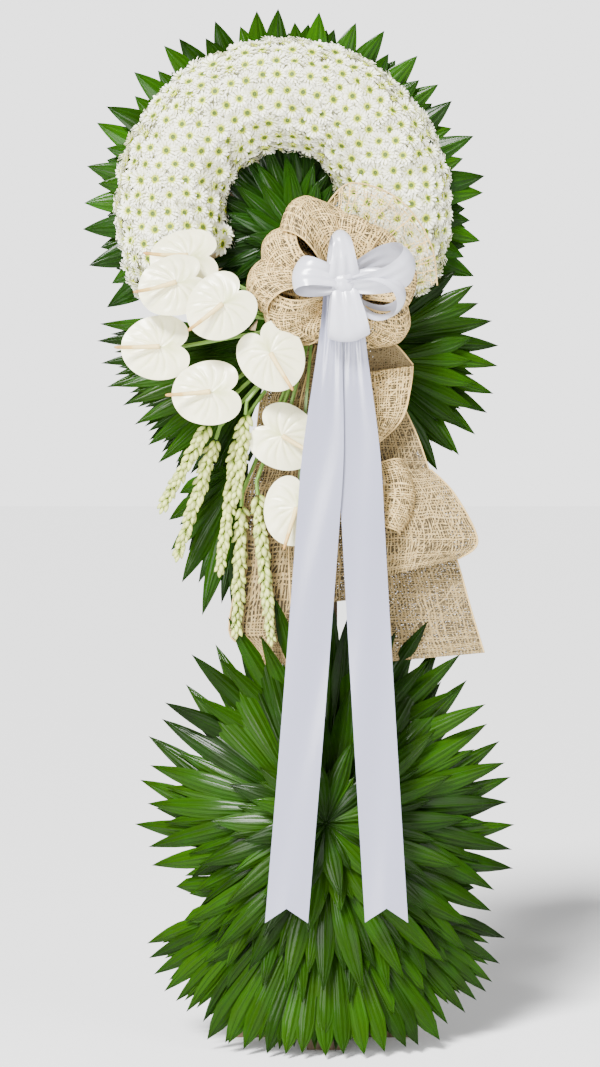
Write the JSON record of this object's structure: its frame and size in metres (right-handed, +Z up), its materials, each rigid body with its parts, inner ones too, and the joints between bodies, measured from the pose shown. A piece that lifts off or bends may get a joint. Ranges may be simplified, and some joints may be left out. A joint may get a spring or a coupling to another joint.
{
  "type": "standing funeral flower arrangement",
  "caption": "Standing funeral spray: a crescent wreath of white mums over palm fronds, with anthuriums, tuberoses, a natural mesh and satin bow, and a palm mound hiding a wooden stand",
  "frame": {"origin": "on the floor under the crossing of the two feet", "axes": "+Z up, +X to the viewer's right, -Y towards the viewer, who sees the flowers"},
  "size_m": [0.7039, 0.4513, 1.6763],
  "materials": {
    "pine": "planed softwood",
    "plywood": "thin plywood",
    "foam": "matte floral foam",
    "mum": "soft white petals with yellow-green buttons",
    "fringe_leaf": "glossy broad leaf",
    "palm": "glossy pleated palm",
    "dark_frond": "glossy dark leaf",
    "spathe": "waxy white",
    "spadix": "matte cream yellow",
    "stem": "green stem",
    "tuberose": "waxy green-white buds",
    "natural_mesh": "open natural fibre mesh",
    "satin": "white satin ribbon"
  },
  "bodies": {
    "root": {"foot_long": "pine", "foot_cross": "pine", "post": "pine", "wreath_board": "plywood", "mid_foam": "foam", "lower_foam": "foam", "mums_right": "mum", "mums_top_right": "mum", "mums_top_left": "mum", "mums_left": "mum", "fringe_left": "fringe_leaf", "fringe_right": "fringe_leaf", "hole_fronds": "dark_frond", "frond_mid_left_back": "palm", "frond_mid_left_front": "palm", "frond_mid_right_back": "palm", "frond_mid_right_front": "palm", "frond_hanging_left": "palm", "frond_mound_back_1": "palm", "frond_mound_back_2": "palm", "frond_mound_back_3": "palm", "frond_mound_front_1": "palm", "frond_mound_front_2": "palm", "frond_mound_front_3": "palm", "frond_rosette": "palm", "frond_skirt_front": "palm", "frond_skirt_left": "palm", "frond_skirt_right": "palm", "anthurium_1_spathe": "spathe", "anthurium_2_spathe": "spathe", "anthurium_3_spathe": "spathe", "anthurium_4_spathe": "spathe", "anthurium_5_spathe": "spathe", "anthurium_6_spathe": "spathe", "anthurium_7_spathe": "spathe", "anthurium_8_spathe": "spathe", "anthurium_1_spadix": "spadix", "anthurium_2_spadix": "spadix", "anthurium_3_spadix": "spadix", "anthurium_4_spadix": "spadix", "anthurium_5_spadix": "spadix", "anthurium_6_spadix": "spadix", "anthurium_7_spadix": "spadix", "anthurium_8_spadix": "spadix", "tuberose_1": "tuberose", "tuberose_2": "tuberose", "tuberose_3": "tuberose", "tuberose_4": "tuberose", "tuberose_5": "tuberose", "tuberose_6": "tuberose", "flower_stems": "stem", "mesh_bow": "natural_mesh", "mesh_panel_left": "natural_mesh", "mesh_panel_right": "natural_mesh", "mesh_folds_right": "natural_mesh", "satin_bow": "satin", "satin_tail_left": "satin", "satin_tail_right": "satin"}
  },
  "joints": []
}
